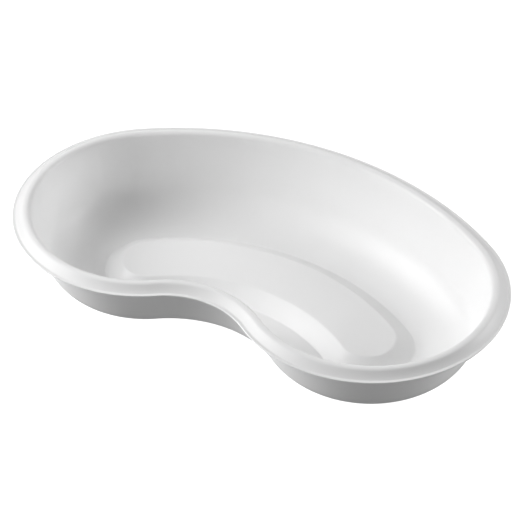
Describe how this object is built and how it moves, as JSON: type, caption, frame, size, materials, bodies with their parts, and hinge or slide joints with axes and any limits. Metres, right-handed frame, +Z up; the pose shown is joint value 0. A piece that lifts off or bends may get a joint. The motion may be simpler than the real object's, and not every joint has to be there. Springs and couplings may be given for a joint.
{
  "type": "kidney dish",
  "caption": "Shallow kidney-shaped ward dish: a thin moulded shell with a round-crested, hollow-flared rim and a flat lip, sloping walls that bend into the bottom, and a raised floor.",
  "frame": {"origin": "on the surface that the dish stands on, under the centre of its bounding box", "axes": "+X along the length of the dish, -Y out through the hollow waist, +Z up out of its mouth"},
  "size_m": [0.25, 0.1488, 0.0428],
  "materials": {
    "shell": "smooth white polypropylene with a soft satin sheen, and a faint bloom from the mould and from use"
  },
  "bodies": {
    "root": {"dish": "shell"}
  },
  "joints": []
}
